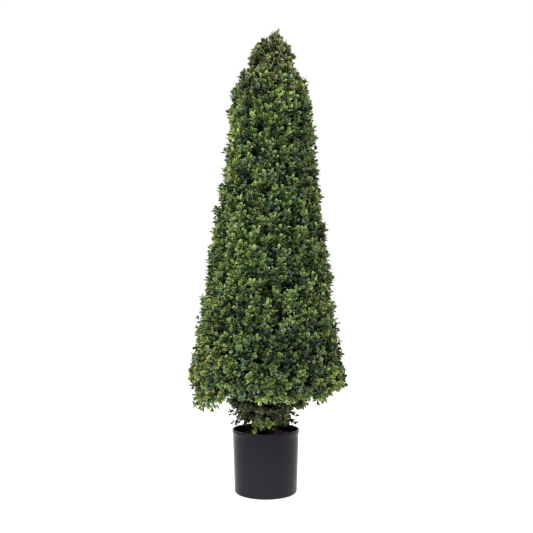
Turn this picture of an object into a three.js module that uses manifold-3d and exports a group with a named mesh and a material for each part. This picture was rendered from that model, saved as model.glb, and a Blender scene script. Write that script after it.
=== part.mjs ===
// Artificial boxwood cone topiary in a black plastic pot.
// Millimetres, +Z up. The origin is the centre of the pot's flat underside, and -Y is the side that faces the viewer.
// A slim stem stands in the filled pot and leans a little towards +X. A welded wire cone hangs on the stem,
// and bands of leafy mat are wrapped round it: four up the straight sides, a flared skirt below and a tuft on top.
// A fringe hangs under the cone, and a collar of sprigs hides the foot of the stem.
import * as THREE from "three";
import { mergeVertices } from "three/addons/utils/BufferGeometryUtils.js";
import Module from "manifold-3d";

const wasm = await Module();
wasm.setup();

// Driving dimensions
const GAP = 0.3; // clearance between neighbouring pieces
const LEAN = THREE.MathUtils.degToRad(1); // the stem's lean towards +X, from the soil up

const POT = {
  height: 162,
  topRadius: 87,
  baseRadius: 80.5,
  wall: 2.6,
  floor: 4,
  footRound: 6, // rounded edge at the foot
  cove: 6, // slope between floor and wall inside
  lipHeight: 9, // thickened lip round the mouth
  lipProud: 0.9,
  lipRound: 1.2,
};

const SOIL = { top: POT.height - 16, thickness: 12, mound: 3, edgeDrop: 3 };

const STEM = { foot: 40, top: 1118, footRadius: 12, flareRadius: 15, topRadius: 6 };

// Clipped outline of the crown, as [height, radius] pairs: hem, widest point of the skirt, waist, top of the
// straight sides, shoulder, neck, and the tuft up to its highest leaves
const OUTLINE = [
  [262, 200],
  [315, 208],
  [366, 192],
  [1030, 104],
  [1078, 95],
  [1108, 78],
  [1140, 64],
  [1176, 50],
  [1214, 12],
];
const BAND_FOOT = 362; // where the straight sides start
const BAND_TOP = 1094; // where the top tuft starts
const BANDS = 4;
const BROW = 1080; // where the highest band turns in to the stem
const LEAF_DEPTH = 19; // from the mat out to the clipped outline
const STRAY = 13; // how far a leaf tip may pass the outline
const SHELL = 12; // thickness of the mat
const QUILT = 5; // how far every other point of the mat is raised

const HEM = { z: 234, tilt: 0.06, matFoot: 280 }; // lowest leaf tips, which hang lower on the -X side
const COLLAR = { foot: SOIL.top + SOIL.mound + GAP, top: 226, radius: 26 };
const FRINGE = { inner: 76, outer: 96, thickness: 9 };

const FRAME = { wire: 2.2, foot: 256, ring: 92, top: 1020, ribs: 4, hubRadius: 18, hubHeight: 16 };

const LEAF = { width: 0.68, thickness: 0.05, apart: 0.36 }; // in lengths; apart: between the middles of two leaves
const LEAF_LENGTH = 54;
const SPRIG_SPACING = 104;
const TWIG = { radius: 3.4, sunk: 6 };

// The seed of each mass's random numbers
const SEEDS = { collar: 6, fringe: 3, skirt: 3, bands: [3, 7, 5, 3], tip: 3 };

const AROUND = 36; // segments of the pot and soil
const MAT_AROUND = 20; // segments of a mat

// Materials
const PLASTIC = new THREE.MeshStandardMaterial({ color: 0x2b292d, roughness: 0.5, metalness: 0 });
const CAST = new THREE.MeshStandardMaterial({ color: 0x8a867e, roughness: 0.9, metalness: 0 });
const EARTH = new THREE.MeshStandardMaterial({ color: 0x1f1412, roughness: 0.95, metalness: 0 });
const BARK = new THREE.MeshStandardMaterial({ color: 0x3a2c20, roughness: 0.85, metalness: 0 });
const STEEL = new THREE.MeshStandardMaterial({ color: 0x5c5f5e, roughness: 0.4, metalness: 0.8 });
const GREEN = new THREE.MeshStandardMaterial({ color: 0x3f5a2b, roughness: 0.45, metalness: 0 });
const OLIVE = new THREE.MeshStandardMaterial({ color: 0x34421f, roughness: 0.5, metalness: 0 });

// Solids from geometry
function solidOf(geometry) {
  const bare = geometry.clone();
  bare.deleteAttribute("normal");
  bare.deleteAttribute("uv");
  const merged = mergeVertices(bare, 1e-3);
  return new wasm.Manifold(
    new wasm.Mesh({
      numProp: 3,
      vertProperties: merged.attributes.position.array,
      triVerts: new Uint32Array(merged.index.array),
    }),
  );
}

function geometryOf(solid) {
  const mesh = solid.getMesh();
  const geometry = new THREE.BufferGeometry();
  geometry.setAttribute("position", new THREE.BufferAttribute(mesh.vertProperties, mesh.numProp));
  geometry.setIndex(new THREE.BufferAttribute(mesh.triVerts, 1));
  geometry.computeVertexNormals();
  return geometry;
}

// Joins the solids and keeps the one main body, so that a loose scrap goes.
function fused(solids) {
  const bodies = solids.reduce((all, next) => all.add(next)).decompose();
  return bodies.reduce((main, body) => (body.volume() > main.volume() ? body : main));
}

// A profile of [radius, height] pairs, turned about the Z axis.
function turned(profile, segments) {
  const points = profile.map(([radius, height]) => new THREE.Vector2(radius, height));
  return new THREE.LatheGeometry(points, segments).rotateX(Math.PI / 2);
}

function pieceOf(name, geometry, material) {
  const mesh = new THREE.Mesh(geometry, material);
  mesh.name = name;
  return mesh;
}

// A small generator of repeatable random numbers between 0 and 1.
function seeded(seed) {
  let state = seed;
  return () => {
    state = (state + 0x6d2b79f5) | 0;
    let mixed = Math.imul(state ^ (state >>> 15), 1 | state);
    mixed = (mixed + Math.imul(mixed ^ (mixed >>> 7), 61 | mixed)) ^ mixed;
    return ((mixed ^ (mixed >>> 14)) >>> 0) / 4294967296;
  };
}

// Pot: tapered, with a rounded foot and a slightly thicker lip
function potInside(z) {
  return potOutside(z) - POT.wall;
}

function potOutside(z) {
  return THREE.MathUtils.lerp(POT.baseRadius, POT.topRadius - POT.lipProud, z / POT.height);
}

function pot() {
  const lipFoot = POT.height - POT.lipHeight;
  const coveTop = POT.floor + POT.cove;
  const footEdge = Array.from({ length: 4 }, (_, i) => {
    const angle = ((i / 3 - 1) * Math.PI) / 2;
    const centre = potOutside(POT.footRound) - POT.footRound;
    return [centre + POT.footRound * Math.cos(angle), POT.footRound + POT.footRound * Math.sin(angle)];
  });
  const profile = [
    [0, 0],
    ...footEdge,
    [potOutside(lipFoot), lipFoot],
    [POT.topRadius, lipFoot + POT.lipProud],
    [POT.topRadius, POT.height - POT.lipRound],
    [POT.topRadius - POT.lipRound, POT.height],
    [potInside(POT.height), POT.height],
    [potInside(coveTop), coveTop],
    [potInside(coveTop) - POT.cove, POT.floor],
    [0, POT.floor],
  ];
  return turned(profile, AROUND);
}

// Stem, upright as it is drawn. The leaning group tilts it.
function stem(grown = 0) {
  const profile = [
    [0, STEM.foot - grown],
    [STEM.footRadius + grown, STEM.foot - grown],
    [STEM.footRadius + grown, SOIL.top - 10],
    [STEM.flareRadius + grown, SOIL.top],
    [STEM.flareRadius - 1.5 + grown, SOIL.top + 12],
    [STEM.footRadius + grown, SOIL.top + 40],
    [STEM.topRadius + grown, STEM.top + grown],
    [0, STEM.top + grown],
  ];
  return turned(profile, 14);
}

const STEM_CLEARANCE = solidOf(stem(GAP));
const LEANING_CLEARANCE = solidOf(
  stem(GAP).translate(0, 0, -SOIL.top).rotateY(LEAN).translate(0, 0, SOIL.top),
);

// Cast fill that weighs the pot down, with a socket for the stem
function potFill() {
  const coveTop = POT.floor + POT.cove;
  const top = SOIL.top - SOIL.thickness - GAP;
  const profile = [
    [0, POT.floor + GAP],
    [potInside(coveTop) - POT.cove - GAP, POT.floor + GAP],
    [potInside(coveTop) - GAP, coveTop + GAP],
    [potInside(top) - GAP, top],
    [0, top],
  ];
  return geometryOf(solidOf(turned(profile, AROUND)).subtract(LEANING_CLEARANCE));
}

function soil() {
  const foot = SOIL.top - SOIL.thickness;
  const edge = potInside(foot) - GAP;
  const profile = [
    [0, foot],
    [edge, foot],
    [edge, SOIL.top - SOIL.edgeDrop],
    [edge * 0.8, SOIL.top],
    [0, SOIL.top + SOIL.mound],
  ];
  return geometryOf(solidOf(turned(profile, AROUND)).subtract(LEANING_CLEARANCE));
}

// Outline and mat
function outlineRadius(z) {
  const next = OUTLINE.slice(1).find(([height]) => height > z) ?? OUTLINE.at(-1);
  const last = OUTLINE[OUTLINE.indexOf(next) - 1];
  return THREE.MathUtils.mapLinear(z, last[0], next[0], last[1], next[1]);
}

function matRadius(z) {
  return outlineRadius(z) - LEAF_DEPTH;
}

// A mat with a quilted outer face. The face's points come first in the profile, and its end rows stay plain.
function quilted(face, rest) {
  const profile = [...face, ...rest, face[0]];
  const mat = turned(profile, MAT_AROUND);
  const place = mat.attributes.position;
  for (let i = 0; i < place.count; i++) {
    const row = i % profile.length;
    const segment = Math.floor(i / profile.length);
    if (row < 1 || row > face.length - 2 || (row + segment) % 2) continue;
    const radius = Math.hypot(place.getX(i), place.getY(i));
    place.setX(i, (place.getX(i) * (radius + QUILT)) / radius);
    place.setY(i, (place.getY(i) * (radius + QUILT)) / radius);
  }
  return mat;
}

function faceRows(foot, top, rows) {
  return Array.from({ length: rows + 1 }, (_, i) => {
    const z = THREE.MathUtils.lerp(foot, top, i / rows);
    return [matRadius(z), z];
  });
}

// Wire cone: rings joined by ribs, with spokes in to a hub on the stem at the foot and at the top
const BAND_HEIGHT = (BAND_TOP - BAND_FOOT) / BANDS;

function ribRadius(z) {
  return matRadius(z) - SHELL - GAP - FRAME.wire;
}

function polar(radius, angle, z) {
  return new THREE.Vector3(radius * Math.cos(angle), radius * Math.sin(angle), z);
}

function rod(from, to) {
  const along = new THREE.Vector3().subVectors(to, from);
  const turn = new THREE.Quaternion().setFromUnitVectors(new THREE.Vector3(0, 1, 0), along.clone().normalize());
  return new THREE.CylinderGeometry(FRAME.wire, FRAME.wire, along.length(), 4)
    .translate(0, along.length() / 2, 0)
    .applyQuaternion(turn)
    .translate(from.x, from.y, from.z);
}

function wireRing(radius, z) {
  return new THREE.TorusGeometry(radius, FRAME.wire, 4, MAT_AROUND).translate(0, 0, z);
}

function hub(z) {
  const half = FRAME.hubHeight / 2;
  return turned([[0, z - half], [FRAME.hubRadius, z - half], [FRAME.hubRadius, z + half], [0, z + half]], 8);
}

function coneFrame() {
  const middle = BAND_FOOT + 2 * BAND_HEIGHT;
  const wires = [
    hub(FRAME.foot),
    hub(FRAME.top),
    wireRing(FRAME.ring, FRAME.foot),
    wireRing(ribRadius(BAND_FOOT), BAND_FOOT),
    wireRing(ribRadius(middle) - FRAME.wire, middle),
  ];
  for (let i = 0; i < FRAME.ribs; i++) {
    const angle = (i / FRAME.ribs) * 2 * Math.PI;
    const corners = [
      polar(FRAME.hubRadius / 2, angle, FRAME.foot),
      polar(FRAME.ring, angle, FRAME.foot),
      polar(ribRadius(BAND_FOOT) - 2, angle, BAND_FOOT),
      polar(ribRadius(FRAME.top) - 3, angle, FRAME.top),
      polar(FRAME.hubRadius / 2, angle, FRAME.top),
    ];
    corners.slice(1).forEach((corner, k) => wires.push(rod(corners[k], corner)));
  }
  return fused(wires.map(solidOf)).subtract(STEM_CLEARANCE);
}

// Leaf: eight faces, pointed at its root, widest past the middle, with its edges cupped and its tip bent back
function leaf(length) {
  const blade = new THREE.OctahedronGeometry(length / 2, 0)
    .scale(1, LEAF.width, LEAF.thickness)
    .translate(length / 2, 0, 0);
  const place = blade.attributes.position;
  for (let i = 0; i < place.count; i++) {
    if (Math.abs(place.getY(i)) > 1) {
      place.setX(i, length * 0.6);
      place.setZ(i, length * 0.07);
    } else if (place.getX(i) > length * 0.9) {
      place.setZ(i, -length * 0.06);
    }
  }
  return blade;
}

// The leaves of a mass so far, and the space that they keep to. A leaf that would leave it, or that would
// crowd one already there, is skipped.
class Leafage {
  constructor(inSpace) {
    this.inSpace = inSpace;
    this.middles = [];
  }

  takes(blade, start, length) {
    const place = blade.attributes.position;
    const corners = Array.from({ length: place.count }, (_, i) => new THREE.Vector3().fromBufferAttribute(place, i));
    const free = corners.filter((corner) => corner.distanceTo(start) > length * 0.3);
    if (!free.every(this.inSpace)) return false;
    const middle = free.reduce((sum, corner) => sum.add(corner), new THREE.Vector3()).divideScalar(free.length);
    if (this.middles.some((other) => other.distanceTo(middle) < length * LEAF.apart)) return false;
    this.middles.push(middle);
    return true;
  }
}

// Sprig: a three-sided twig with pairs of opposite leaves, each pair a quarter turn on from the last, and one end leaf
function sprig({ root, aim, twigLength, leafLength, pairs = 2 }, random, leafage) {
  const along = aim.clone().normalize();
  const side = new THREE.Vector3(0, 0, 1).cross(along);
  if (side.length() < 0.2) side.set(1, 0, 0).cross(along);
  side.normalize();
  const across = new THREE.Vector3().crossVectors(along, side);
  const foot = root.clone().addScaledVector(along, -TWIG.sunk);
  const twig = new THREE.CylinderGeometry(TWIG.radius * 0.6, TWIG.radius, twigLength + TWIG.sunk, 3)
    .translate(0, (twigLength + TWIG.sunk) / 2, 0)
    .applyQuaternion(new THREE.Quaternion().setFromUnitVectors(new THREE.Vector3(0, 1, 0), along))
    .translate(foot.x, foot.y, foot.z);
  const solids = [solidOf(twig)];
  const quarter = Math.PI / 2;
  const startTurn = random() * quarter;

  const addLeaf = (share, turn, degrees, length) => {
    const tilt = THREE.MathUtils.degToRad(degrees);
    const outward = side.clone().multiplyScalar(Math.cos(turn)).addScaledVector(across, Math.sin(turn));
    const axis = along.clone().multiplyScalar(Math.cos(tilt)).addScaledVector(outward, Math.sin(tilt));
    const face = along.clone().addScaledVector(axis, -along.dot(axis)).normalize();
    const breadth = new THREE.Vector3().crossVectors(face, axis);
    const start = root.clone().addScaledVector(along, twigLength * share).addScaledVector(outward, TWIG.radius * 0.1);
    const blade = leaf(length).applyMatrix4(new THREE.Matrix4().makeBasis(axis, breadth, face).setPosition(start));
    if (leafage.takes(blade, start, length)) solids.push(solidOf(blade));
  };

  for (let pair = 0; pair < pairs; pair++) {
    const share = 0.35 + (0.45 * pair) / Math.max(pairs - 1, 1);
    const turn = startTurn + pair * quarter + (random() - 0.5) * 0.5;
    const degrees = 73 - 12 * pair + (random() - 0.5) * 12;
    const length = leafLength * (1 - 0.16 * pair + (random() - 0.5) * 0.1);
    addLeaf(share, turn, degrees, length);
    addLeaf(share, turn + Math.PI, degrees, length);
  }
  addLeaf(0.97, startTurn + random() * quarter, 16 + random() * 16, leafLength * 0.5);
  return solids;
}

// A row of sprigs round the axis, rooted on the mat and pointing out and up by the given angle.
function row({ z, radius = matRadius, count, phase, rise, twigLength = 9, leafLength = LEAF_LENGTH, pairs, scatter = 16 }, random) {
  return Array.from({ length: count }, (_, i) => {
    const angle = ((i + phase + (random() - 0.5) * 0.3) / count) * 2 * Math.PI;
    const up = THREE.MathUtils.degToRad(rise + (random() - 0.5) * 12);
    const turn = angle + (random() - 0.5) * 0.3;
    const aim = new THREE.Vector3(Math.cos(turn) * Math.cos(up), Math.sin(turn) * Math.cos(up), Math.sin(up));
    const height = z + (random() - 0.5) * scatter;
    const root = polar(radius(height) - 1, angle, height);
    return { root, aim, twigLength, leafLength: leafLength * (0.92 + random() * 0.16), pairs };
  });
}

// A mass: its mat with its sprigs fused on
function mass(seed, mat, sprigs, inSpace) {
  const random = seeded(seed);
  const leafage = new Leafage(inSpace);
  const solids = [solidOf(mat)];
  sprigs(random).forEach((one) => solids.push(...sprig(one, random, leafage)));
  return geometryOf(fused(solids).subtract(STEM_CLEARANCE));
}

// Slanting cuts between the masses. Each starts at a height on the mat and climbs with the distance out from it.
const CUT_SLOPES = [0.05, 0.3, 0.35, 0.4, 0.6];
const CUTS = CUT_SLOPES.map((slope, i) => ({ z: BAND_FOOT + i * BAND_HEIGHT, slope }));
const CUT_CLEAR = 2.5; // how far a leaf stays from a cut

function cutHeight(cut, point) {
  return cut.z + Math.max(Math.hypot(point.x, point.y) - matRadius(cut.z), 0) * cut.slope;
}

function insideOutline(point) {
  return Math.hypot(point.x, point.y) < outlineRadius(point.z) + STRAY;
}

// Bands of mat up the straight sides
function band(index) {
  const [lower, upper] = [CUTS[index], CUTS[index + 1]];
  const foot = lower.z + GAP / 2;
  const top = upper.z - GAP / 2;
  const isHighest = index === BANDS - 1;
  const faceTop = isHighest ? BROW : top;
  const closing = isHighest ? [[FRAME.hubRadius + 12, top], [FRAME.hubRadius + 12, top - SHELL]] : [];
  const innerTop = isHighest ? BROW - SHELL : top;
  const mat = quilted(faceRows(foot, faceTop, 4), [
    ...closing,
    [matRadius(innerTop) - SHELL, innerTop],
    [matRadius(foot) - SHELL, foot],
  ]);
  const inSpace = (point) =>
    insideOutline(point) && point.z > cutHeight(lower, point) + CUT_CLEAR && point.z < cutHeight(upper, point) - CUT_CLEAR;
  const sprigs = (random) =>
    [0.24, 0.72].flatMap((share, i) => {
      const z = lower.z + share * BAND_HEIGHT;
      const count = Math.round((2 * Math.PI * outlineRadius(z)) / SPRIG_SPACING);
      return row({ z, count, phase: i / 2 + index * 0.3, rise: 14 + 4 * index }, random);
    });
  return mass(SEEDS.bands[index], mat, sprigs, inSpace);
}

// Skirt: a flared band whose sprigs stand out level above and droop below
function skirt() {
  const top = CUTS[0].z - GAP / 2;
  const mat = quilted(faceRows(HEM.matFoot, top, 2), [
    [matRadius(top) - SHELL, top],
    [matRadius(HEM.matFoot) - SHELL, HEM.matFoot],
  ]);
  const inSpace = (point) =>
    Math.hypot(point.x, point.y) < outlineRadius(315) + STRAY &&
    Math.hypot(point.x, point.y) > FRINGE.outer + 36 &&
    point.z > HEM.z + HEM.tilt * point.x &&
    point.z < cutHeight(CUTS[0], point) - CUT_CLEAR;
  const sprigs = (random) => [
    ...row({ z: 330, count: 12, phase: 0.2, rise: -2 }, random),
    ...row({ z: 290, count: 14, phase: 0.7, rise: -46, pairs: 1, twigLength: 14, scatter: 8 }, random),
  ];
  return mass(SEEDS.skirt, mat, sprigs, inSpace);
}

// Fringe: a ring of mat wired under the lowest ring of the frame, whose sprigs hang round the stem
function fringe() {
  const top = FRAME.foot - FRAME.wire - GAP;
  const foot = top - FRINGE.thickness;
  const profile = [
    [FRINGE.inner, foot],
    [FRINGE.outer, foot],
    [FRINGE.outer, top],
    [FRINGE.inner, top],
    [FRINGE.inner, foot],
  ];
  const inSpace = (point) => {
    const radius = Math.hypot(point.x, point.y);
    return point.z > 208 && point.z < top && radius > COLLAR.radius + 40 && radius < FRINGE.outer + 30;
  };
  const sprigs = (random) =>
    row(
      { z: foot, radius: () => FRINGE.outer - 8, count: 10, phase: 0.1, rise: -62, leafLength: 30, pairs: 1, scatter: 2 },
      random,
    );
  return mass(SEEDS.fringe, turned(profile, 20), sprigs, inSpace);
}

// Collar of sprigs round the foot of the stem
function collar() {
  const profile = [
    [0, COLLAR.foot],
    [COLLAR.radius - 4, COLLAR.foot],
    [COLLAR.radius, COLLAR.foot + 20],
    [COLLAR.radius, COLLAR.top - 14],
    [COLLAR.radius - 6, COLLAR.top],
    [0, COLLAR.top],
  ];
  const inSpace = (point) => {
    const radius = Math.hypot(point.x, point.y);
    const overPot = radius > POT.topRadius - 12;
    return point.z > (overPot ? POT.height + 3 : COLLAR.foot + 2) && (point.z < 206 || (radius < 64 && point.z < 236));
  };
  const radius = () => COLLAR.radius;
  const sprigs = (random) => [
    ...row({ z: 214, radius, count: 5, phase: 0.2, rise: 12, twigLength: 12, leafLength: 38, scatter: 6 }, random),
    ...row({ z: 190, radius, count: 6, phase: 0, rise: -4, twigLength: 38, leafLength: 42, scatter: 6 }, random),
    ...row({ z: 168, radius, count: 4, phase: 0.5, rise: 4, twigLength: 30, leafLength: 38, scatter: 6 }, random),
  ];
  return mass(SEEDS.collar, turned(profile, 16), sprigs, inSpace);
}

// Tuft on top, seated on the stem's end
function tip() {
  const foot = CUTS[BANDS].z + GAP / 2;
  const heights = [1110, 1140, 1172];
  const profile = [[0, foot], [matRadius(1120) - 8, foot], ...heights.map((z) => [matRadius(z), z]), [8, 1190], [0, 1192]];
  const inSpace = (point) => point.z > cutHeight(CUTS[BANDS], point) + CUT_CLEAR && point.z < OUTLINE.at(-1)[0] + 4;
  const sprigs = (random) => [
    ...row({ z: 1116, count: 5, phase: 0.3, rise: 26, leafLength: 34 }, random),
    ...row({ z: 1150, count: 4, phase: 0.1, rise: 44, leafLength: 32 }, random),
    { root: new THREE.Vector3(2, 0, 1188), aim: new THREE.Vector3(-0.2, 0.1, 1), twigLength: 10, leafLength: 30 },
  ];
  return mass(SEEDS.tip, turned(profile, 14), sprigs, inSpace);
}

// The upright pot with its fill, and everything that leans with the stem
const tree = new THREE.Group();
tree.add(pieceOf("pot", pot(), PLASTIC));
tree.add(pieceOf("pot_fill", potFill(), CAST));
tree.add(pieceOf("soil", soil(), EARTH));

const leaning = new THREE.Group();
leaning.position.z = SOIL.top;
leaning.rotation.y = LEAN;
const drawn = new THREE.Group();
drawn.position.z = -SOIL.top;
leaning.add(drawn);
tree.add(leaning);

drawn.add(pieceOf("stem", stem(), BARK));
drawn.add(pieceOf("cone_frame", geometryOf(coneFrame()), STEEL));
drawn.add(pieceOf("stem_collar", collar(), OLIVE));
drawn.add(pieceOf("under_fringe", fringe(), OLIVE));
drawn.add(pieceOf("skirt", skirt(), GREEN));
for (let i = 0; i < BANDS; i++) {
  drawn.add(pieceOf(`crown_band_${i + 1}`, band(i), GREEN));
}
drawn.add(pieceOf("crown_tip", tip(), GREEN));

export default tree;
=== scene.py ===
import math
from collections import namedtuple

import bmesh
import bpy
import numpy as np
from mathutils import Matrix, Vector, noise


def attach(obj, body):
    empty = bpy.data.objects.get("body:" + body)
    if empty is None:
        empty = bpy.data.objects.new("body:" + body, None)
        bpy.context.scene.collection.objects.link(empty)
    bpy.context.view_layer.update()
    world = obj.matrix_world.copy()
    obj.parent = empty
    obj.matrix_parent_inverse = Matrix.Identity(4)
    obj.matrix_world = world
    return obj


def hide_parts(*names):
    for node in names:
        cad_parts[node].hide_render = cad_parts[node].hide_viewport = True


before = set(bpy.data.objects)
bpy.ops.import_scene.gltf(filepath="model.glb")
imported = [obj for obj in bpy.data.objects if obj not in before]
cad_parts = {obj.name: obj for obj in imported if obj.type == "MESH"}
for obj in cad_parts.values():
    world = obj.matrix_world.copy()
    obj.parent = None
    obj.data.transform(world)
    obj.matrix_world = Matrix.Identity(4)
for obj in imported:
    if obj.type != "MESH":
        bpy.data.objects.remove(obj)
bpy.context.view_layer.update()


# Studio: a white floor in a white room, lit by a small soft lamp high on the left and a large one on the
# right. The room on the camera's side is dim, and the floor is so bright that only a thin contact shadow
# shows. Lengths here are in metres.
VIEW_DISTANCE = 1.847
VIEW_HEIGHT = 0.492
VIEW_ASIDE = 0.002
VIEW_TILT = math.radians(2.85)
LENS = 47.44
ROOM_DIM = 0.17
FLOOR_GAP = 0.0005


class Maths:
    """A node's output in an expression: its operators add Math nodes."""

    def __init__(self, nodes, socket):
        self.nodes = nodes
        self.socket = socket

    def join(self, operation, left, right):
        return self.nodes.node("ShaderNodeMath", {"operation": operation}, {0: left, 1: right})

    def __add__(self, other):
        return self.join("ADD", self, other)

    def __radd__(self, other):
        return self.join("ADD", other, self)

    def __sub__(self, other):
        return self.join("SUBTRACT", self, other)

    def __rsub__(self, other):
        return self.join("SUBTRACT", other, self)

    def __mul__(self, other):
        return self.join("MULTIPLY", self, other)

    def __rmul__(self, other):
        return self.join("MULTIPLY", other, self)


class Finish:
    """The nodes of a material or of the world, which end in one shader."""

    def __init__(self, owner, shader="Principled BSDF"):
        owner.use_nodes = True
        self.owner = owner
        self.tree = owner.node_tree
        self.shader = self.tree.nodes[shader]

    def put(self, target, value):
        if isinstance(value, Maths):
            self.tree.links.new(value.socket, target)
        elif target.type == "RGBA" and len(value) == 3:
            target.default_value = (*value, 1)
        else:
            target.default_value = value

    def set(self, **sockets):
        for socket, value in sockets.items():
            self.put(self.shader.inputs[socket.replace("_", " ")], value)
        return self

    def node(self, kind, settings=None, inputs=None, output=0):
        made = self.tree.nodes.new(kind)
        for setting, value in (settings or {}).items():
            setattr(made, setting, value)
        for socket, value in (inputs or {}).items():
            self.put(made.inputs[socket], value)
        return Maths(self, made.outputs[output])

    def place(self, stretch=None):
        where = self.node("ShaderNodeTexCoord", output="Object")
        if stretch:
            where = self.node("ShaderNodeMapping", None, {"Vector": where, "Scale": stretch})
        return where

    def speckle(self, scale, detail, rough, stretch=None):
        """Noise of about scale cells a metre, from 0 to 1."""
        inputs = {"Vector": self.place(stretch), "Scale": scale, "Detail": detail, "Roughness": rough}
        return self.node("ShaderNodeTexNoise", None, inputs)

    def span(self, value, low, high, to_low=0.0, to_high=1.0):
        """A value carried from one range to another, and held inside it."""
        inputs = {"Value": value, 1: low, 2: high, 3: to_low, 4: to_high}
        return self.node("ShaderNodeMapRange", {"clamp": True}, inputs)

    def blend(self, share, low, high):
        """A colour between two, by a share from 0 to 1."""
        return self.node("ShaderNodeMix", {"data_type": "RGBA"}, {0: share, 6: low, 7: high}, 2)

    def relief(self, height, depth):
        """Small relief, from a height between 0 and 1 and a depth in metres."""
        return self.set(Normal=self.node("ShaderNodeBump", None, {"Distance": depth, "Height": height}))


def finish(name, **sockets):
    return Finish(bpy.data.materials.new(name)).set(**sockets)


def add_mesh(name, shape, skin, smooth=True):
    """A bmesh in metres becomes a piece whose object sits at the origin."""
    mesh = bpy.data.meshes.new(name)
    shape.to_mesh(mesh)
    shape.free()
    mesh.materials.append(skin.owner)
    for face in mesh.polygons:
        face.use_smooth = smooth
    piece = bpy.data.objects.new(name, mesh)
    bpy.context.scene.collection.objects.link(piece)
    return piece


def softbox(name, place, target, size, watts):
    light = bpy.data.lights.new(name, "AREA")
    light.shape = "RECTANGLE"
    light.size, light.size_y = size
    light.energy = watts
    lamp = bpy.data.objects.new(name, light)
    lamp.location = place
    lamp.rotation_euler = (Vector(target) - lamp.location).to_track_quat("-Z", "Y").to_euler()
    bpy.context.scene.collection.objects.link(lamp)


camera = bpy.data.objects.new("camera", bpy.data.cameras.new("camera"))
bpy.context.scene.collection.objects.link(camera)
camera.data.sensor_width = 36
camera.data.lens = LENS
camera.data.clip_end = 50
camera.location = (VIEW_ASIDE, -VIEW_DISTANCE, VIEW_HEIGHT)
camera.rotation_euler = (math.radians(90) + VIEW_TILT, 0, 0)
bpy.context.scene.camera = camera
bpy.context.scene.view_settings.view_transform = "Standard"

softbox("key_lamp", place=(-1.5, -2.05, 2.0), target=(0, 0, 0.7), size=(0.4, 0.4), watts=107)
softbox("fill_lamp", place=(2.4, -0.4, 1.3), target=(0, 0, 0.6), size=(1.0, 1.6), watts=46)

room = Finish(bpy.data.worlds.new("studio"), "Background")
bpy.context.scene.world = room.owner
seen = room.node("ShaderNodeLightPath", output="Is Camera Ray")
direction = room.node("ShaderNodeTexCoord", output="Generated")
ahead = room.node("ShaderNodeSeparateXYZ", None, {0: direction}, "Y")
glow = room.span(ahead, -0.4, 0.5, ROOM_DIM, 1.0)
room.set(Color=(1, 1, 1), Strength=glow + seen * (1 - glow))

sweep = finish("sweep_white", Base_Color=(0.8, 0.8, 0.8), Roughness=0.8)
sweep.set(Emission_Color=(1, 1, 1), Emission_Strength=0.7)
floor_shape = bmesh.new()
bmesh.ops.create_circle(floor_shape, cap_ends=True, radius=6, segments=96)
floor = add_mesh("floor", floor_shape, sweep, smooth=False)
floor.location.z = -FLOOR_GAP


# Pot: one injection-moulded shell of black plastic, slightly tapered, with a thin thickened lip and a
# rounded foot. Its satin skin has a fine grain, faint drag marks and a little dust. Its colour is
# painted darker towards the rim, as painted shade from the crown above, and is paler towards the foot.
# Sizes from here on are in millimetres, and those in a finish stay in metres.
MM = 0.001
POT_HEIGHT = 162
POT_TOP = 87
POT_BASE = 80.5
POT_WALL = 2.6
POT_FLOOR = 4
FOOT_ROUND = 6
FOOT_RING = 62
FOOT_HOLLOW = 0.6
LIP_HEIGHT = 9
LIP_PROUD = 0.9
LIP_ROUND = 1.2
RIM_ROUND = 0.9


def turned(profile, steps, closed=False):
    """Points of (radius, height), spun round the upright axis."""
    shape = bmesh.new()
    points = [shape.verts.new((radius * MM, 0, height * MM)) for radius, height in profile]
    edges = [shape.edges.new(pair) for pair in zip(points, points[1:])]
    if closed:
        edges.append(shape.edges.new((points[-1], points[0])))
    around = {"cent": (0, 0, 0), "axis": (0, 0, 1), "angle": 2 * math.pi}
    bmesh.ops.spin(shape, geom=points + edges, steps=steps, use_merge=True, **around)
    bmesh.ops.remove_doubles(shape, verts=shape.verts, dist=1e-6)
    bmesh.ops.recalc_face_normals(shape, faces=shape.faces)
    return shape


def arc(centre, size, start, end, steps):
    angles = np.radians(np.linspace(start, end, steps + 1))
    return [(centre[0] + size * math.cos(a), centre[1] + size * math.sin(a)) for a in angles]


def pot_outside(z):
    return POT_BASE + (POT_TOP - LIP_PROUD - POT_BASE) * z / POT_HEIGHT


def pot_inside(z):
    return pot_outside(z) - POT_WALL


lip_foot = POT_HEIGHT - LIP_HEIGHT
pot_profile = [(0, FOOT_HOLLOW), (FOOT_RING - 2, FOOT_HOLLOW), (FOOT_RING, 0)]
pot_profile += arc((pot_outside(FOOT_ROUND) - FOOT_ROUND, FOOT_ROUND), FOOT_ROUND, -90, 0, 8)
pot_profile += [(pot_outside(z), z) for z in np.linspace(2 * FOOT_ROUND, lip_foot - 0.6, 9)]
pot_profile += arc((POT_TOP - LIP_ROUND, lip_foot + 1.4), LIP_ROUND, -50, 0, 3)
pot_profile += arc((POT_TOP - LIP_ROUND, POT_HEIGHT - LIP_ROUND), LIP_ROUND, 0, 90, 4)
pot_profile += arc((pot_inside(POT_HEIGHT) + RIM_ROUND, POT_HEIGHT - RIM_ROUND), RIM_ROUND, 90, 180, 4)
pot_profile += [(pot_inside(z), z) for z in np.linspace(POT_HEIGHT - 12, 2 * FOOT_ROUND, 6)]
pot_profile += [(pot_inside(POT_FLOOR + FOOT_ROUND) - FOOT_ROUND, POT_FLOOR), (0, POT_FLOOR)]

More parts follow.
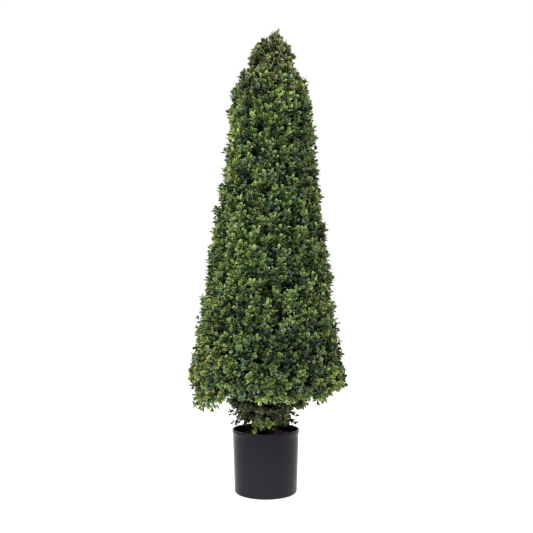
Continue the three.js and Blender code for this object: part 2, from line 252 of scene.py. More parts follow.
black_plastic = finish("pot_black_plastic", Specular_IOR_Level=0.07, Specular_Tint=(0.90, 0.86, 1))
grain = black_plastic.speckle(2600, 2, 0.6)
marks = black_plastic.speckle(3, 5, 0.65, (40, 40, 2.5))
dust = black_plastic.span(black_plastic.speckle(22, 6, 0.7), 0.5, 0.72)
height = black_plastic.node("ShaderNodeSeparateXYZ", None, {0: black_plastic.place()}, "Z")
# Painted shade: darker from the foot up to the rim, which the crown shades, with a little pale dust.
painted_shade_and_dust = black_plastic.span(height, 0.03, 0.15, 0.6, 0.0) + dust * 0.15
black_plastic.set(
    Base_Color=black_plastic.blend(painted_shade_and_dust, (0.0095, 0.0084, 0.0112), (0.0205, 0.0184, 0.0216)),
    Roughness=black_plastic.span(marks, 0.3, 0.7, 0.16, 0.21) + dust * 0.05,
)
black_plastic.relief(grain * 0.6 + marks * 0.4, 0.00003)

pot = add_mesh("pot_shell", turned(pot_profile, 128), black_plastic)
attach(pot, "root")
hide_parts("pot")


# Cast fill: cement poured round the foot of the stem, which weighs the pot down.
# It is hidden under the soil cover, and keeps the shape that the solids give it.
cement = finish("cast_cement", Roughness=0.9)
cement.set(Base_Color=cement.blend(cement.speckle(160, 6, 0.7), (0.2, 0.19, 0.17), (0.32, 0.31, 0.28)))
cement.relief(cement.speckle(420, 4, 0.6), 0.0006)
for fill_slot in bpy.data.objects["pot_fill"].material_slots:
    fill_slot.material = cement.owner


# Soil cover: a pressed disc of dark reddish-brown fibre, with loose crumbs on it.
# It lies 16 mm under the rim and rises a little towards the stem.
SOIL_TOP = 146
SOIL_FOOT = 134
SOIL_RISE = 2.2
SOIL_SPREAD = 84
SOIL_ROUGH = 81.5
SOIL_GAP = 0.3
CRUMBS = 900
CRUMB_SPREAD = 80
CHIP = np.array([(1, 0, 0), (0, 1, 0), (-1, 0, 0), (0, -1, 0), (0, 0, 1), (0, 0, -1)], dtype=float)
CHIP_FACES = np.array([
    (0, 1, 4), (1, 2, 4), (2, 3, 4), (3, 0, 4),
    (1, 0, 5), (2, 1, 5), (3, 2, 5), (0, 3, 5),
])


def soil_height(radius):
    return SOIL_TOP + SOIL_RISE * (1 - radius / SOIL_SPREAD)


def joined(name, corners, faces, finishes, slots=None, smooth=True):
    """One mesh of many small things, from arrays of corners and of three-sided faces."""
    corners = np.asarray(corners, dtype=np.float32).reshape(-1, 3) * MM
    faces = np.asarray(faces, dtype=np.int32).reshape(-1, 3)
    mesh = bpy.data.meshes.new(name)
    mesh.vertices.add(len(corners))
    mesh.vertices.foreach_set("co", corners.ravel())
    mesh.loops.add(faces.size)
    mesh.loops.foreach_set("vertex_index", faces.ravel())
    mesh.polygons.add(len(faces))
    mesh.polygons.foreach_set("loop_start", np.arange(0, faces.size, 3, dtype=np.int32))
    mesh.polygons.foreach_set("use_smooth", np.full(len(faces), smooth))
    for skin in finishes:
        mesh.materials.append(skin.owner)
    if slots is not None:
        mesh.polygons.foreach_set("material_index", slots.astype(np.int32))
    mesh.update(calc_edges=True)
    mesh.validate()
    piece = bpy.data.objects.new(name, mesh)
    bpy.context.scene.collection.objects.link(piece)
    return piece


soil_shoulder = SOIL_TOP - 4
soil_profile = [(0, SOIL_FOOT)]
soil_profile += [(pot_inside(z) - SOIL_GAP, z) for z in (SOIL_FOOT, soil_shoulder)]
soil_profile += [(radius, soil_height(radius)) for radius in np.linspace(82, 3, 34)]
soil_profile += [(0, soil_height(0))]
soil_shape = turned(soil_profile, 150)
for point in soil_shape.verts:
    if point.co.z > (SOIL_TOP - 5) * MM and point.co.xy.length < SOIL_ROUGH * MM:
        point.co.z += (noise.noise(point.co * 150) * 1.6 + noise.noise(point.co * 420)) * MM

soil_fibre = finish("soil_fibre", Roughness=0.95, Specular_IOR_Level=0.2)
flecks = soil_fibre.span(soil_fibre.speckle(900, 3, 0.7), 0.42, 0.66)
soil_fibre.set(Base_Color=soil_fibre.blend(flecks, (0.028, 0.0095, 0.013), (0.122, 0.040, 0.054)))
soil_fibre.relief(soil_fibre.speckle(700, 4, 0.7), 0.0012)

soil = add_mesh("soil_cover", soil_shape, soil_fibre)
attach(soil, "root")
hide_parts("soil")

crumb_rule = np.random.default_rng(8)
reach = CRUMB_SPREAD * np.sqrt(crumb_rule.random(CRUMBS))
turn = crumb_rule.random(CRUMBS) * 2 * math.pi
middle = np.stack([reach * np.cos(turn), reach * np.sin(turn), soil_height(reach) + 0.6], axis=1)
sizes = crumb_rule.uniform(0.5, 1.7, (CRUMBS, 1, 1)) * crumb_rule.uniform(0.5, 1.4, (CRUMBS, 1, 3))
turns = np.linalg.qr(crumb_rule.normal(size=(CRUMBS, 3, 3)))[0]
chips = (CHIP * sizes) @ turns + middle[:, None]
chip_faces = CHIP_FACES + len(CHIP) * np.arange(CRUMBS)[:, None, None]

crumb = finish("soil_crumb", Roughness=0.95, Specular_IOR_Level=0.2)
crumb_tone = crumb.speckle(400, 2, 0.5)
crumb.set(Base_Color=crumb.blend(crumb_tone, (0.035, 0.012, 0.0155), (0.150, 0.051, 0.064)))
crumbs = joined("soil_crumbs", chips, chip_faces, [crumb], smooth=False)
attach(crumbs, "root")


# Stem: a slim natural wood pole with its bark left on, set in the fill and leaning a little.
# It flares where it leaves the soil and tapers up through the whole crown, as its heights and radii say,
# and its bark has shallow furrows and knots.
STEM = [(40, 11.7), (136, 11.7), (146, 14.4), (158, 13.2), (186, 11.9), (1118, 6)]
STEM_STEP = 6
STEM_MIDDLE = 2
BARK_GAP = 0.25
PIVOT = Vector((0, 0, SOIL_TOP * MM))
LEAN = Matrix.Translation(PIVOT) @ Matrix.Rotation(math.radians(1), 4, "Y") @ Matrix.Translation(-PIVOT)


def stem_radius(z):
    heights, radii = zip(*STEM)
    return float(np.interp(z, heights, radii))


stem_foot = STEM[0][0]
stem_top = STEM[-1][0]
stem_heights = list(range(stem_foot, stem_top, STEM_STEP)) + [stem_top]
stem_profile = [(0, stem_foot)] + [(stem_radius(z) - BARK_GAP, z) for z in stem_heights] + [(0, stem_top)]
stem_shape = turned(stem_profile, 40)
for point in stem_shape.verts:
    if point.co.xy.length > STEM_MIDDLE * MM:
        furrow = noise.noise(Vector((point.co.x * 260, point.co.y * 260, point.co.z * 22)))
        knot = noise.noise(point.co * 35)
        point.co.xy *= 1 + min(0.0, furrow * 0.07 + knot * 0.03)
bmesh.ops.transform(stem_shape, matrix=LEAN, verts=stem_shape.verts)

bark = finish("stem_bark", Roughness=0.85)
ridges = bark.speckle(420, 5, 0.65, (1, 1, 0.12))
bark.set(Base_Color=bark.blend(bark.span(ridges, 0.35, 0.65), (0.022, 0.012, 0.008), (0.11, 0.07, 0.042)))
bark.relief(ridges, 0.0016)

stem = add_mesh("stem_bark", stem_shape, bark)
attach(stem, "root")
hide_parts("stem")


# Wire cone: rings and ribs of dull galvanised wire inside the crown, welded where they cross, with
# spokes in to two sleeves on the stem. It follows the line that the crown is clipped to, and only a
# glimpse of its lowest ring shows.
FRAME_FOOT = 256
FRAME_TOP = 1020
FRAME_RING = 92
WIRE = 2.0
WIRE_INSET = 10
RIBS = 4
SPOKE_START = 9
SLEEVE = 18
SLEEVE_REACH = 8
SLEEVE_CHAMFER = 0.6
SLEEVE_GAP = 0.4
BAND_FOOT = 362
BAND_HEIGHT = 183
BANDS = 4
MAT_DEPTH = 34

# The line that the crown is clipped to, as heights and radii. It closes at the top, and runs on inwards
# above, so that a twig that aims up past the tip is cut back as well.
OUTLINE = [
    (230, 186), (262, 200), (292, 207), (313, 206), (334, 201), (355, 193), (376, 188), (417, 183),
    (459, 176), (543, 165), (627, 156), (712, 142), (797, 130), (883, 119), (969, 111), (1052, 99),
    (1069, 92), (1085, 82), (1101, 69), (1110, 61), (1118, 58), (1134, 58), (1150, 59), (1166, 46),
    (1177, 33), (1186, 21), (1200, 12), (1219, 0), (1319, -100),
]


def outline(z):
    heights, radii = zip(*OUTLINE)
    return np.interp(z, heights, radii)


def mat_face(z):
    return outline(z) - MAT_DEPTH


def add_ring(shape, radius, z):
    ring = bmesh.ops.create_circle(shape, radius=WIRE * MM, segments=8)["verts"]
    upright = Matrix.Translation((radius * MM, 0, z * MM)) @ Matrix.Rotation(math.radians(90), 4, "X")
    bmesh.ops.transform(shape, matrix=upright, verts=ring)
    edges = list({edge for point in ring for edge in point.link_edges})
    around = {"cent": (0, 0, 0), "axis": (0, 0, 1), "angle": 2 * math.pi}
    bmesh.ops.spin(shape, geom=ring + edges, steps=72, use_merge=True, **around)


def add_wire(shape, start, end):
    along = (end - start) * MM
    place = Matrix.Translation((start + end) / 2 * MM) @ along.to_track_quat("Z", "Y").to_matrix().to_4x4()
    size = {"radius1": WIRE * MM, "radius2": WIRE * MM, "depth": along.length}
    bmesh.ops.create_cone(shape, cap_ends=True, segments=8, matrix=place, **size)


def add_sleeve(shape, z):
    bore = stem_radius(z) + SLEEVE_GAP
    foot = z - SLEEVE_REACH
    top = z + SLEEVE_REACH
    sleeve = [(bore, foot), (SLEEVE - SLEEVE_CHAMFER, foot), (SLEEVE, foot + SLEEVE_CHAMFER)]
    sleeve += [(SLEEVE, top - SLEEVE_CHAMFER), (SLEEVE - SLEEVE_CHAMFER, top), (bore, top)]
    sleeve_shape = turned(sleeve, 40, closed=True)
    sleeve_mesh = bpy.data.meshes.new("sleeve")
    sleeve_shape.to_mesh(sleeve_mesh)
    sleeve_shape.free()
    shape.from_mesh(sleeve_mesh)
    bpy.data.meshes.remove(sleeve_mesh)


wires = bmesh.new()
add_ring(wires, FRAME_RING, FRAME_FOOT)
for band in range(BANDS):
    height = BAND_FOOT + band * BAND_HEIGHT
    add_ring(wires, mat_face(height) - WIRE_INSET, height)
for rib in range(RIBS):
    corners = [(SPOKE_START, FRAME_FOOT), (FRAME_RING, FRAME_FOOT)]
    corners += [(mat_face(z) - WIRE_INSET, z) for z in (BAND_FOOT, FRAME_TOP)] + [(SPOKE_START, FRAME_TOP)]
    turn = Matrix.Rotation(rib / RIBS * 2 * math.pi, 3, "Z")
    corners = [turn @ Vector((radius, 0, z)) for radius, z in corners]
    for start, end in zip(corners, corners[1:]):
        add_wire(wires, start, end)
for height in (FRAME_FOOT, FRAME_TOP):
    add_sleeve(wires, height)
bmesh.ops.recalc_face_normals(wires, faces=wires.faces)
bmesh.ops.transform(wires, matrix=LEAN, verts=wires.verts)

zinc = finish("galvanised_wire", Metallic=0.85)
tarnish = zinc.speckle(260, 4, 0.6)
zinc.set(Base_Color=zinc.blend(tarnish, (0.19, 0.2, 0.2), (0.42, 0.43, 0.42)))
zinc.set(Roughness=zinc.span(tarnish, 0.3, 0.7, 0.35, 0.6))

wire_cone = add_mesh("wire_cone", wires, zinc)
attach(wire_cone, "root")
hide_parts("cone_frame")


# Crown bands: four lengths of leafy mat wrapped round the straight sides of the wire cone. The mat is a
# dark plastic grid, kept near-black so that it is also the painted shade deep between the sprigs. Its
# moulded sprigs fork into side twigs, all clipped to one even surface, and carry leaves about 16 mm long,
# and longer at the top, in opposite pairs a quarter turn apart.
MAT_THICK = 5
MAT_GAP = 0.2
MAT_MIDDLE = 4
MAT_ROUGH = 2.2
MAT_SHOULDER = 1080
SPACING = 23
ROW_SPACING = 0.87
TWIG = 1.0
SINK = 5
SIDE_PAIRS = 3

# Twigs are cut so that the leaves at their ends, which reach on a little, meet the clipped outline. A few
# strays stand out of it, and a mass whose lengths are given isn't clipped.
LEAF_REACH = 12.5
SHORTEST = 10
LONGEST = 72
STRAY_SHARE = 0.15
STRAY_REACH = 9
UNCLIPPED = -400

# A leaf one unit long, with its stalk at the origin: its outline, then the edge of its blade inside a
# paler margin, then its midrib. The last three points repeat points of the midrib, which keeps it sharp.
LEAF = np.array([
    (0, 0, 0),
    (0.24, 0.13, 0.06), (0.56, 0.26, 0.11), (0.86, 0.20, 0.04), (1, 0, -0.07),
    (0.86, -0.20, 0.04), (0.56, -0.26, 0.11), (0.24, -0.13, 0.06),
    (0.30, 0.09, 0.04), (0.58, 0.19, 0.08), (0.9, 0, -0.04), (0.58, -0.19, 0.08), (0.30, -0.09, 0.04),
    (0.33, 0, 0), (0.62, 0, 0), (0.33, 0, 0), (0.62, 0, 0), (0.9, 0, -0.04),
])
MARGIN = [
    (0, 8, 1), (8, 9, 2), (8, 2, 1), (9, 10, 3), (9, 3, 2), (10, 4, 3),
    (0, 7, 12), (12, 7, 6), (12, 6, 11), (11, 6, 5), (11, 5, 17), (17, 5, 4),
]
BLADE = [
    (0, 13, 8), (13, 14, 9), (13, 9, 8), (14, 10, 9),
    (0, 12, 15), (15, 12, 11), (15, 11, 16), (16, 11, 17),
]
LEAF_FACES = np.array(MARGIN + BLADE)
LEAF_ZONES = np.array([1] * len(MARGIN) + [0] * len(BLADE))

# Each tint has the colours of a leaf's blade and of its margin, and how rough it is. Green leaves run
# from shade to bright, and dull ones from umber to straw.
TINTS = {
    "shade": ((0.010, 0.018, 0.017), (0.024, 0.044, 0.025), 0.50),
    "deep": ((0.014, 0.036, 0.016), (0.066, 0.122, 0.036), 0.40),
    "bluish": ((0.024, 0.062, 0.038), (0.096, 0.172, 0.080), 0.38),
    "olive": ((0.051, 0.072, 0.021), (0.171, 0.207, 0.056), 0.45),
    "mid": ((0.046, 0.094, 0.027), (0.196, 0.290, 0.070), 0.42),
    "bright": ((0.105, 0.186, 0.045), (0.350, 0.460, 0.120), 0.44),
    "young": ((0.099, 0.125, 0.034), (0.275, 0.322, 0.082), 0.46),
    "umber": ((0.020, 0.021, 0.013), (0.046, 0.048, 0.027), 0.50),
    "moss": ((0.034, 0.038, 0.018), (0.108, 0.118, 0.054), 0.44),
    "khaki": ((0.062, 0.072, 0.030), (0.185, 0.212, 0.084), 0.45),
    "brown": ((0.046, 0.040, 0.021), (0.138, 0.122, 0.058), 0.45),
    "straw": ((0.106, 0.118, 0.045), (0.285, 0.310, 0.118), 0.46),
}
TINT_NAMES = list(TINTS)

# How the tints of middling leaves are dealt, to dull leaves and to green ones at the crown's left and
# right, where the olive and young tints are painted light for the white room shining through the leaves.
DULLS = {"khaki": 0.65, "brown": 0.2, "olive": 0.15}
PAINTED_BACKLIGHT_TINTS = {"olive": 0.5, "young": 0.5}

# The share of dull leaves at each height: most of them under the hem, and many near the top.
DULL_SHARE = [(250, 0.75), (262, 0.05), (900, 0.0), (1060, 0.5), (1110, 0.85)]

# How a mass grows: the length of its leaves and their breadth against the mould's, the gap between
# pairs, the pairs on a sprig, how wide they open, the side twigs, and the tints of its middling leaves.
Habit = namedtuple("Habit", "long broad step pairs spread sides tints")
BAND_TINTS = {"mid": 0.7, "bluish": 0.17, "olive": 0.13}
CROWN = Habit(long=16.5, broad=1.08, step=7, pairs=5, spread=0.92, sides=2, tints=BAND_TINTS)
TOP = CROWN._replace(long=21, broad=0.95, step=8, spread=0.6)

leaf_skins = []
for tint, (blade, margin, rough) in TINTS.items():
    blade_skin = finish(f"leaf_{tint}_blade", Base_Color=blade, Roughness=rough)
    margin_skin = finish(f"leaf_{tint}_margin", Base_Color=margin, Roughness=rough + 0.06)
    leaf_skins += [blade_skin.set(Specular_IOR_Level=0.4), margin_skin.set(Specular_IOR_Level=0.35)]
twig_skin = finish("twig_plastic", Base_Color=(0.035, 0.036, 0.015), Roughness=0.6)
twig_skin.set(Specular_IOR_Level=0.25)
# The mat's near-black colour is partly painted shade, the shade deep between the sprigs.
mat_plastic = finish("mat_plastic", Roughness=0.7, Specular_IOR_Level=0.15)
mat_grime = mat_plastic.speckle(120, 4, 0.7)
mat_plastic.set(Base_Color=mat_plastic.blend(mat_grime, (0.005, 0.008, 0.007), (0.014, 0.022, 0.014)))
mat_plastic.relief(mat_plastic.speckle(300, 3, 0.6), 0.003)


def unit(vectors):
    return vectors / np.linalg.norm(vectors, axis=-1, keepdims=True)


def aimed(turn, rise):
    """Directions from an angle round the axis and an angle above level, both in radians."""
    return np.stack([np.cos(turn) * np.cos(rise), np.sin(turn) * np.cos(rise), np.sin(rise)], axis=-1)


def square_to(aims):
    side = unit(np.cross(aims, np.where(np.abs(aims[:, 2:]) > 0.95, (1.0, 0, 0), (0, 0, 1.0))))
    return side, np.cross(aims, side)


def leaned(corners):
    turn = np.array(LEAN.to_3x3())
    return corners.reshape(-1, 3) @ turn.T + np.array(LEAN.translation) / MM


def reach_outline(roots, aims, short, least, most):
    """How long each twig is, so that its end leaves stop at the clipped outline, or short of it."""
    lengths = np.full(len(roots), 20.0)
    for _ in range(10):
        ends = roots + aims * (lengths + LEAF_REACH)[:, None]
        lengths += 0.7 * (outline(ends[:, 2]) - short - np.hypot(ends[:, 0], ends[:, 1]))
        lengths = np.clip(lengths, least, most)
    return lengths


def fork(roots, aims, lengths, rule, sides, short, most):
    """The side twigs of each sprig: their feet, aims and lengths."""
    side, across = square_to(aims)
    count = len(roots)
    start = rule.random(count) * 2 * math.pi
    made = []
    for i in range(sides):
        turn = (start + (i + rule.uniform(-0.2, 0.2, count)) / sides * 2 * math.pi)[:, None]
        splay = np.radians(rule.uniform(28, 52, count))[:, None]
        aim = np.cos(splay) * aims + np.sin(splay) * (np.cos(turn) * side + np.sin(turn) * across)
        foot = roots + aims * (lengths * rule.uniform(0.2, 0.5, count))[:, None]
        uneven = short + rule.uniform(0, 12, count)
        made.append((foot, aim, reach_outline(foot, aim, uneven, 8, most)))
    return [np.concatenate(parts) for parts in zip(*made)]


def vigour(roots, rule, lift):
    """How light each sprig's leaves are: it drifts over the crown, and differs from sprig to sprig."""
    places = [Vector(root) for root in roots]
    drift = np.array([noise.noise(place * 0.016) + 0.6 * noise.noise(place * 0.04) for place in places])
    return lift + 1.5 * drift + rule.normal(0, 0.55, len(roots))


def pick(rule, shares, count):
    return rule.choice([TINT_NAMES.index(name) for name in shares], count, p=list(shares.values()))


def tint_leaves(vigours, pairs_from_end, dullness, middles, rule):
    """A tint for each leaf, lighter on a vigorous sprig and towards the twig's end. The inner pairs are
    darker, as painted shade deep in the crown.
    """
    count = len(vigours)
    # Inner pairs are set darker as painted shade deep in the crown, and end pairs lighter.
    value = vigours + (0.75, 0.0, -1.3)[min(pairs_from_end, 2)] + rule.normal(0, 0.38, count)
    reached = [value > 1.35, value > -0.35, value > -1.5]
    bright, deep, shade = (TINT_NAMES.index(name) for name in ("bright", "deep", "shade"))
    green = np.select(reached, [bright, middles, deep], shade)
    straw, moss, umber = (TINT_NAMES.index(name) for name in ("straw", "moss", "umber"))
    faded = np.select(reached, [straw, pick(rule, DULLS, count), moss], umber)
    return np.where(rule.random(count) < dullness, faded, green)


def grow_leaves(feet, aims, lengths, rule, vigours, dullness, habit, pairs):
    """Leaf corners and face slots for the pairs at each twig's end."""
    side, across = square_to(aims)
    count = len(feet)
    start = rule.random(count) * math.pi
    # Painted light: leaves at the crown's left and right are more often olive or young than those in front
    # and behind, for the white room's light shining through them there.
    sideways = np.abs(feet[:, 0]) / (np.hypot(feet[:, 0], feet[:, 1]) + 0.1)
    edge = rule.random(count) < 0.9 * sideways ** 4
    middles = np.where(edge, pick(rule, PAINTED_BACKLIGHT_TINTS, count), pick(rule, habit.tints, count))
    corners = []
    slots = []
    for pair in range(pairs):
        from_end = pairs - 1 - pair
        tilt_mean = (38, 56, 64, 68)[min(from_end, 3)]
        size_mean = (0.82, 1.0, 1.0, 0.95)[min(from_end, 3)]
        for opposite in (0, math.pi):
            turn = (start + pair * math.pi / 2 + opposite + rule.normal(0, 0.15, count))[:, None]
            tilt = np.radians(tilt_mean * habit.spread + rule.normal(0, 8, count))[:, None]
            size = habit.long * size_mean * rule.uniform(0.85, 1.12, count)
            out = np.cos(turn) * side + np.sin(turn) * across
            axis = np.cos(tilt) * aims + np.sin(tilt) * out
            face = unit(aims - axis * np.sum(aims * axis, axis=1, keepdims=True))
            roll = rule.normal(0, 0.2, count)[:, None]
            face = unit(face * np.cos(roll) + np.cross(face, axis) * np.sin(roll))
            back = from_end * habit.step * rule.uniform(0.85, 1.15, count)
            along = np.maximum(lengths - back, 1.0)[:, None]
            breadth = size * habit.broad * rule.uniform(0.9, 1.1, count)
            arch = size * rule.uniform(0.6, 1.5, count)
            shape = LEAF * np.stack([size, breadth, arch], axis=1)[:, None]
            shape = shape @ np.stack([axis, np.cross(face, axis), face], axis=1)
            corners.append(shape + (feet + aims * along + out * 0.5)[:, None])
            tints = tint_leaves(vigours, from_end, dullness, middles, rule)
            slots.append((2 * tints[:, None] + LEAF_ZONES).ravel())
    return np.concatenate(corners), np.concatenate(slots)


def grow_twigs(feet, aims, lengths):
    """Corners and faces of three-sided tapering twigs, their feet sunk in what bears them."""
    side, across = square_to(aims)
    thirds = (0, 2 * math.pi / 3, 4 * math.pi / 3)
    spoke = np.stack([math.cos(a) * side + math.sin(a) * across for a in thirds], axis=1)
    foot = (feet - aims * SINK)[:, None] + spoke * TWIG
    end = (feet + aims * lengths[:, None])[:, None] + spoke * TWIG * 0.5
    faces = np.array([
        (0, 1, 4), (0, 4, 3), (1, 2, 5), (1, 5, 4),
        (2, 0, 3), (2, 3, 5), (3, 4, 5), (0, 2, 1),
    ])
    faces = faces + 6 * np.arange(len(feet))[:, None, None]
    return np.concatenate([foot, end], axis=1), faces


def dress(name, node, roots, aims, rule, habit, lift, lengths=None, dullness=None):
    """The twigs and the leaves of one mass, each kind as one piece. A higher lift makes lighter leaves,
    and sprigs that are given no lengths are cut to the outline."""
    count = len(roots)
    if lengths is None:
        stray = rule.random(count) < STRAY_SHARE
        short = np.where(stray, -STRAY_REACH, rule.uniform(-4, 10, count))
        lengths = reach_outline(roots, aims, short, SHORTEST, LONGEST)
        side_twigs = fork(roots, aims, lengths, rule, habit.sides, 0, 26)
    else:
        side_twigs = fork(roots, aims, lengths, rule, habit.sides, UNCLIPPED, 18)
    vigours = vigour(roots, rule, lift)
    if dullness is None:
        share_heights, shares = zip(*DULL_SHARE)
        dullness = np.interp(roots[:, 2], share_heights, shares)
    main, main_slots = grow_leaves(roots, aims, lengths, rule, vigours, dullness, habit, habit.pairs)
    side_vigours = np.tile(vigours, habit.sides) + rule.normal(0, 0.3, len(side_twigs[0]))
    side_dullness = np.tile(dullness, habit.sides)
    sides, side_slots = grow_leaves(*side_twigs, rule, side_vigours, side_dullness, habit, SIDE_PAIRS)
    corners = np.concatenate([main, sides])
    faces = LEAF_FACES + len(LEAF) * np.arange(len(corners))[:, None, None]
    slots = np.concatenate([main_slots, side_slots])
    leaves = joined(f"{name}_leaves", leaned(corners), faces, leaf_skins, slots)
    all_twigs = [np.concatenate(pair) for pair in zip((roots, aims, lengths), side_twigs)]
    twig_corners, twig_faces = grow_twigs(*all_twigs)
    twigs = joined(f"{name}_twigs", leaned(twig_corners), twig_faces, [twig_skin], smooth=False)
    for piece in (leaves, twigs):
        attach(piece, "root")
        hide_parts(node)


def sprig_rows(heights, rise, rule, radius=mat_face, spacing=SPACING, shift=0.0):
    """Roots and aims of sprigs in staggered rows, from each row's angle above level in degrees."""
    roots = []
    aims = []
    for i, z in enumerate(heights):
        count = max(round(2 * math.pi * float(outline(z)) / spacing), 4)
        angle = (np.arange(count) + 0.5 * (i % 2) + rule.uniform(-0.2, 0.2, count)) / count * 2 * math.pi
        height = z + rule.uniform(-0.35, 0.35, count) * spacing
        across = radius(height) * np.cos(angle)
        ahead = radius(height) * np.sin(angle)
        roots.append(np.stack([across, ahead, height], axis=1))
        turn = angle + rule.normal(0, 0.22, count)
        aims.append(aimed(turn, np.radians(rise(z) + rule.normal(0, 12, count))))
    return np.concatenate(roots) + np.array((shift, 0, 0)), np.concatenate(aims)


def add_mat(name, node, outer, inner):
    """A mat between an outer and an inner line of (radius, height) points, with an uneven face."""
    shape = turned(outer + inner[::-1], 90, closed=inner[0][0] > 0)
    for point in shape.verts:
        if point.co.xy.length > MAT_MIDDLE * MM:
            point.co.xy *= 1 + noise.noise(point.co * 90) * MAT_ROUGH * MM / point.co.xy.length
    bmesh.ops.transform(shape, matrix=LEAN, verts=shape.verts)
    mat = add_mesh(name, shape, mat_plastic)
    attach(mat, "root")
    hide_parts(node)


def thinned(outer):
    return [(radius - MAT_THICK, z) for radius, z in outer]


def band_rise(z):
    return 52 if z < 900 else 44


for band in range(BANDS):
    node = f"crown_band_{band + 1}"
    foot = BAND_FOOT + band * BAND_HEIGHT
    top = foot + BAND_HEIGHT
    heights = np.linspace(foot + MAT_GAP, min(top, MAT_SHOULDER) - MAT_GAP, 12)
    outer = [(float(mat_face(z)), z) for z in heights]
    inner = thinned(outer)
    if band == BANDS - 1:
        outer.append((28, top - 1))
        inner.append((28, top - 7))
    add_mat(f"{node}_mat", node, outer, inner)
    rule = np.random.default_rng(20 + band)
    rows = np.arange(foot + SPACING * 0.4, top, SPACING * ROW_SPACING)
    roots, aims = sprig_rows(rows, band_rise, rule)
    if band == BANDS - 1:
        dress(node, node, roots, aims, rule, TOP, -0.2)
    else:
        dress(node, node, roots, aims, rule, CROWN, -0.15)


# Skirt: the widest mass, where the mat turns out over the lowest ring. Its sprigs stand out level above
# and hang over the hem below, lower on the left than on the right.
SKIRT_FOOT = 284
HEM = 262
HEM_AIM = -52
HEM_DROOP = 31
HEM_RISE = 16
HEM_SPACING = 32
TRAILING_RADIUS = 168
SKIRT_TINTS = {"mid": 0.5, "bluish": 0.12, "olive": 0.38}
SKIRT = CROWN._replace(long=17, broad=1.12, spread=0.75, tints=SKIRT_TINTS)
HANGING = SKIRT._replace(long=18, broad=1.15, step=10, pairs=4)


def skirt_rise(z):
    return -14 + 50 * (z - SKIRT_FOOT) / (BAND_FOOT - SKIRT_FOOT)


def hem_radius(z):
    return mat_face(SKIRT_FOOT) - rule.uniform(0, 24, len(z))


skirt_outer = [(float(mat_face(z)), z) for z in np.linspace(SKIRT_FOOT, BAND_FOOT - MAT_GAP, 6)]
add_mat("skirt_mat", "skirt", skirt_outer, thinned(skirt_outer))
rule = np.random.default_rng(31)
rows = np.arange(SKIRT_FOOT + 8, BAND_FOOT, SPACING * ROW_SPACING)
roots, aims = sprig_rows(rows, skirt_rise, rule)
dress("skirt", "skirt", roots, aims, rule, SKIRT, -0.4)

# The hem's sprigs end at a level that drops on the far left and lifts towards the right.
roots, aims = sprig_rows([SKIRT_FOOT] * 2, lambda z: HEM_AIM, rule, hem_radius, HEM_SPACING)
roots[:, 2] = SKIRT_FOOT + rule.uniform(-2, 6, len(roots))
droop = np.clip((-roots[:, 0] - 92) / 36, 0, 1)
aims = unit(aims - np.array((0, 0, 1.0)) * (0.2 + 0.6 * droop)[:, None])
level = HEM - HEM_DROOP * droop + HEM_RISE * np.clip(roots[:, 0] / 120, 0, 1)
lengths = (roots[:, 2] - level - 8) / np.clip(-aims[:, 2], 0.5, 1)
lengths = np.clip(lengths + rule.normal(0, 7, len(level)), 8, 70)
dress("hem", "skirt", roots, aims, rule, HANGING, -0.35, lengths)

# A few sprigs trail below the rest, each given by its place round the hem in degrees and its length.
TRAILING = [
    (-95, 26), (-85, 24), (-70, 26), (-57, 24), (-45, 34), (-35, 30), (-131, 44),
    (-136, 54), (-140, 48), (-150, 48), (-168, 40), (20, 26), (75, 30), (130, 32),
]
angle, lengths = (np.array(values, dtype=float) for values in zip(*TRAILING))
angle = np.radians(angle)
height = np.full(len(angle), SKIRT_FOOT + 2.0)
roots = np.stack([TRAILING_RADIUS * np.cos(angle), TRAILING_RADIUS * np.sin(angle), height], axis=1)
aims = aimed(angle, np.full(len(angle), np.radians(-76)))
dress("trailing", "skirt", roots, aims, rule, HANGING, 1.2, lengths)


# Tip: a separate tuft pushed down on the stem's end, narrower than the band below, with one upright
# sprig of young leaves at the very top.
TUFT = TOP._replace(long=23, broad=0.98)
TUFT_OUTER = [(0, 1095), (30, 1095), (32, 1108), (30, 1140), (18, 1165), (0, 1176)]
TUFT_CORE = [(0, 1140)]
TUFT_SPACING = 26
TUFT_SHIFT = -5


def tuft_rise(z):
    return 32 + 42 * (z - 1100) / 84


def tuft_radius(z):
    return np.clip(mat_face(z), 4, 34)


add_mat("crown_tip_mat", "crown_tip", TUFT_OUTER, TUFT_CORE)
rule = np.random.default_rng(41)
rows = np.arange(1104, 1160, SPACING * 0.8)
roots, aims = sprig_rows(rows, tuft_rise, rule, tuft_radius, TUFT_SPACING, TUFT_SHIFT)
dress("crown_tip", "crown_tip", roots, aims, rule, TUFT, -0.35)

# The upright sprig and four short ones round its foot.
roots = np.array([(10, 0, 1168), (-7, 2, 1162), (9, -3, 1160), (-2, -8, 1160), (1, 8, 1160)], dtype=float)
aims = unit(np.array([(0.05, 0, 1), (-0.2, 0, 1), (0.5, -0.1, 1), (-0.1, -0.5, 1), (0.1, 0.5, 1)]))
lengths = np.array([34.0, 14, 13, 12, 12])
dress("leader", "crown_tip", roots, aims, rule, TUFT, 1.2, lengths)


# Fringe: a ring of mat wired under the lowest ring of the frame. Its sprigs hang round the stem and hide
# the inside of the crown, with three more among them at the front. They take darker tints, as painted
# shade under the crown.
LOWER = SKIRT._replace(long=13.5, spread=0.7, sides=3)
FRINGE_OUTER = 96
FRINGE_INNER = 77
FRINGE_FOOT = 244.8
FRINGE_TOP = 252.6
FRINGE_SPRIGS = 16

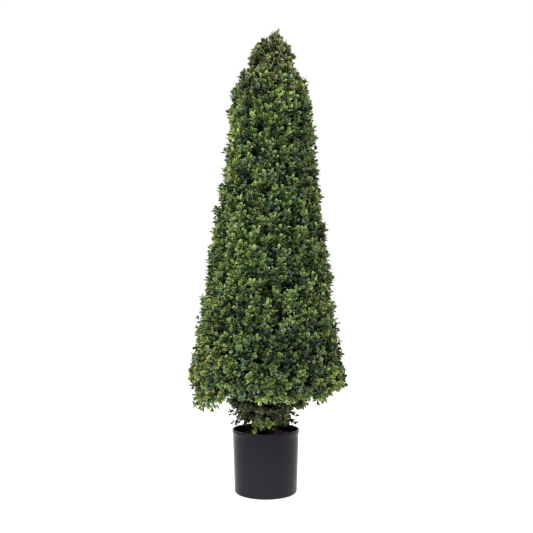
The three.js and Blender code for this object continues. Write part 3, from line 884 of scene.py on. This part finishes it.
fringe_outer = [(FRINGE_OUTER, FRINGE_FOOT), (FRINGE_OUTER, FRINGE_TOP)]
fringe_inner = [(FRINGE_INNER, FRINGE_FOOT), (FRINGE_INNER, FRINGE_TOP)]
add_mat("fringe_mat", "under_fringe", fringe_outer, fringe_inner)
rule = np.random.default_rng(51)
places = np.arange(FRINGE_SPRIGS) + rule.uniform(-0.4, 0.4, FRINGE_SPRIGS)
angle = np.append(places / FRINGE_SPRIGS * 2 * math.pi, np.radians((-142, -13, -28)))
count = len(angle)
radius = np.append(rule.uniform(79, 92, FRINGE_SPRIGS), (84, 88, 88))
roots = np.stack([radius * np.cos(angle), radius * np.sin(angle), np.full(count, 247.0)], axis=1)
aims = aimed(angle + rule.normal(0, 0.5, count), np.radians(-72 + rule.normal(0, 9, count)))
lengths = np.append(rule.uniform(14, 26, FRINGE_SPRIGS), (24, 20, 20))
lengths = lengths * np.where(roots[:, 0] < -70, 0.4, 1)
# A low lift darkens these sprigs as painted shade under the crown.
dress("fringe", "under_fringe", roots, aims, rule, LOWER, -0.7, lengths)


# Collar: loose sprigs of the same dark plastic tied round the foot of the stem, which spread over the
# rim of the pot. The upper ones are longer, and a few droop at its left and right. Their tints are kept
# dark, as painted shade under the crown.
COLLAR_RADIUS = 22
COLLAR_SPRIGS = 54
COLLAR_OUTER = [(22, 150), (24, 170), (24, 212), (19, 225)]
COLLAR_INNER = [(16.4, 150), (14.2, 170), (13, 212), (12.8, 225)]
GOLDEN_TURN = math.pi * (3 - math.sqrt(5))

add_mat("collar_mat", "stem_collar", COLLAR_OUTER, COLLAR_INNER)
rule = np.random.default_rng(61)
angle = np.arange(COLLAR_SPRIGS) * GOLDEN_TURN
height = rule.uniform(170, 214, COLLAR_SPRIGS)
roots = np.stack([COLLAR_RADIUS * np.cos(angle), COLLAR_RADIUS * np.sin(angle), height], axis=1)
rise = np.interp(height, [170, 190, 214], [30, 14, -3]) + rule.normal(0, 9, COLLAR_SPRIGS)
aims = aimed(angle + rule.normal(0, 0.3, COLLAR_SPRIGS), np.radians(rise))
lengths = np.interp(height, [170, 185, 200, 214], [28, 44, 62, 70])
lengths = lengths * rule.uniform(0.85, 1.1, COLLAR_SPRIGS) - 13 * np.clip(aims[:, 0], 0, 1)

angle = np.radians((-8, 10, 24, 170, 186))
height = np.full(len(angle), 200.0)
droopers = np.stack([COLLAR_RADIUS * np.cos(angle), COLLAR_RADIUS * np.sin(angle), height], axis=1)
roots = np.concatenate([roots, droopers])
aims = np.concatenate([aims, aimed(angle, np.full(len(angle), np.radians(-22)))])
lengths = np.append(lengths, (54, 58, 52, 68, 64))
# A low lift darkens the collar as painted shade under the crown.
dress("collar", "stem_collar", roots, aims, rule, LOWER, -0.8, lengths)

# Green sprigs at the front of the collar reach out over the soil, the leftmost lowest. They take the
# lightest tints, as painted light, since the crown above shades them.
FRONT = HANGING._replace(pairs=3, sides=1)
angle = np.radians((-114, -96, -84, -70))
height = rule.uniform(184, 194, len(angle))
roots = np.stack([23 * np.cos(angle), 23 * np.sin(angle), height], axis=1)
aims = aimed(angle, np.radians((-22, -4, 4, 0)))
lengths = np.array([44.0, 44, 42, 42])
dullness = np.full(len(angle), 0.15)
# A high lift is painted light on these shaded sprigs.
dress("collar_front", "stem_collar", roots, aims, rule, FRONT, 2.6, lengths, dullness)
